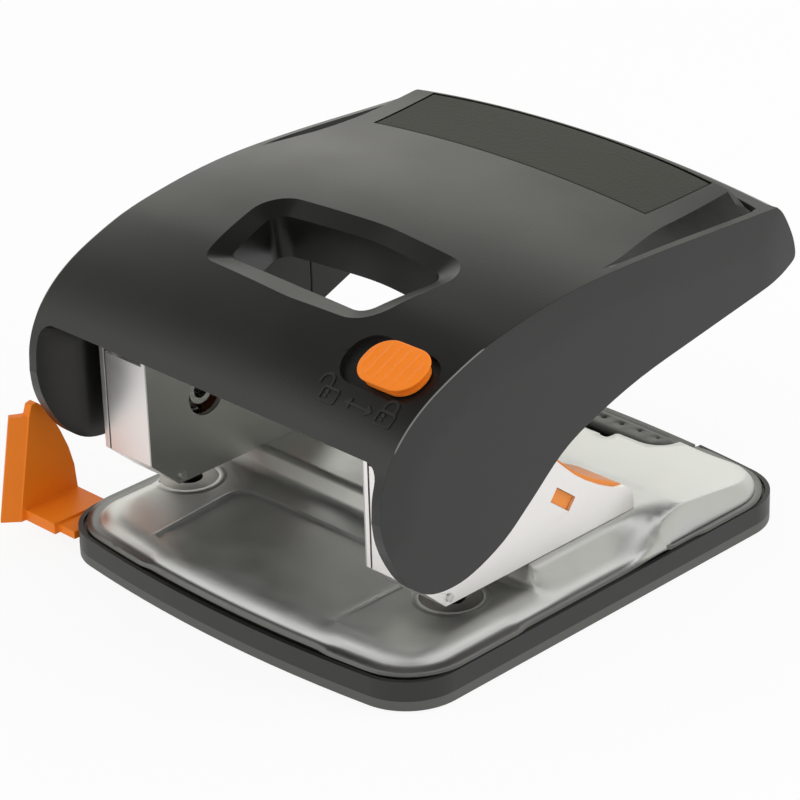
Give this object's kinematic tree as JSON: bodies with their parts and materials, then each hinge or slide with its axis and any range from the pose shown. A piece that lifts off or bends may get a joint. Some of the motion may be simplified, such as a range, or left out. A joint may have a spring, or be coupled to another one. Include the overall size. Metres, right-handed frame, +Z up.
{
  "type": "hole punch",
  "caption": "Manual desk hole punch: steel base and punch brackets under a moulded lever with a window, sliding lever lock, pull-out paper guide and rear chip drawer.",
  "frame": {"origin": "on the desk face of the rubber mat, midway between the two punched holes in X and at the middle of the base's depth in Y", "axes": "+X to the right seen from the front, +Y from the paper side to the rear, +Z up from the desk"},
  "size_m": [0.1234, 0.1277, 0.077],
  "materials": {
    "pressed_steel": "satin galvanized sheet with a fine grain",
    "turned_steel": "bright turned steel",
    "spring_steel": "drawn wire, lightly oiled",
    "tool_steel": "hardened and ground",
    "rivet_steel": "zinc plated",
    "screw_steel": "zinc plated",
    "cover_plastic": "warm dark grey, satin, moulded",
    "pad_rubber": "dark grey, fine speckled grain",
    "base_plastic": "dark grey moulded plastic, fine texture",
    "drawer_plastic": "dark grey moulded plastic",
    "mat_rubber": "black, ribbed underneath",
    "orange_plastic": "orange moulded plastic, satin gloss",
    "block_plastic": "orange moulded plastic, plain",
    "bush_plastic": "black acetal"
  },
  "bodies": {
    "base": {"base_pan": "base_plastic", "base_mat": "mat_rubber", "base_screws": "screw_steel", "base_rim": "base_plastic", "base_plate": "pressed_steel", "guide_channel": "base_plastic", "left_die": "tool_steel", "right_die": "tool_steel", "left_bracket": "pressed_steel", "right_bracket": "pressed_steel", "left_spacer_block": "block_plastic", "right_spacer_block": "block_plastic", "left_pin_guide": "bush_plastic", "right_pin_guide": "bush_plastic", "bracket_rivets": "rivet_steel", "nose_pins": "turned_steel", "pivot_shaft": "turned_steel", "pivot_clips": "spring_steel", "lock_catch": "pressed_steel"},
    "handle": {"handle_cover": "cover_plastic", "grip_pad": "pad_rubber", "lever_frame": "pressed_steel", "left_lever_arm": "pressed_steel", "right_lever_arm": "pressed_steel", "cover_screws": "screw_steel"},
    "lock": {"lock_slider": "orange_plastic", "lock_bolt": "bush_plastic"},
    "left_punch": {"left_punch_pin": "tool_steel", "left_drive_pin": "turned_steel", "left_return_spring": "spring_steel"},
    "right_punch": {"right_punch_pin": "tool_steel", "right_drive_pin": "turned_steel", "right_return_spring": "spring_steel"},
    "guide": {"paper_guide": "orange_plastic", "guide_stop": "turned_steel"},
    "drawer": {"chip_drawer": "drawer_plastic"}
  },
  "joints": [
    {"name": "handle_hinge", "type": "hinge", "parent": "base", "child": "handle", "pos_m": [0, -0.0412, 0.0485], "axis": [-1, 0, 0], "range_deg": [0, 22], "stiffness_Nm_per_rad": 0.6, "springref_deg": -28.65},
    {"name": "left_punch_slide", "type": "slide", "parent": "base", "child": "left_punch", "axis": [0, 0, -1], "range_m": [0, 0.0061], "deforming": ["left_return_spring"]},
    {"name": "right_punch_slide", "type": "slide", "parent": "base", "child": "right_punch", "axis": [0, 0, -1], "range_m": [0, 0.0061], "deforming": ["right_return_spring"]},
    {"name": "lock_slide", "type": "slide", "parent": "handle", "child": "lock", "axis": [-1, 0, 0], "range_m": [0, 0.005]},
    {"name": "guide_slide", "type": "slide", "parent": "base", "child": "guide", "axis": [-1, 0, 0], "range_m": [0, 0.0875]},
    {"name": "drawer_slide", "type": "slide", "parent": "base", "child": "drawer", "axis": [0, 1, 0], "range_m": [0, 0.08]}
  ],
  "couplings": [
    {"joint": "left_punch_slide", "follows": "handle_hinge", "m_per_rad": 0.015777},
    {"joint": "right_punch_slide", "follows": "handle_hinge", "m_per_rad": 0.015777}
  ]
}
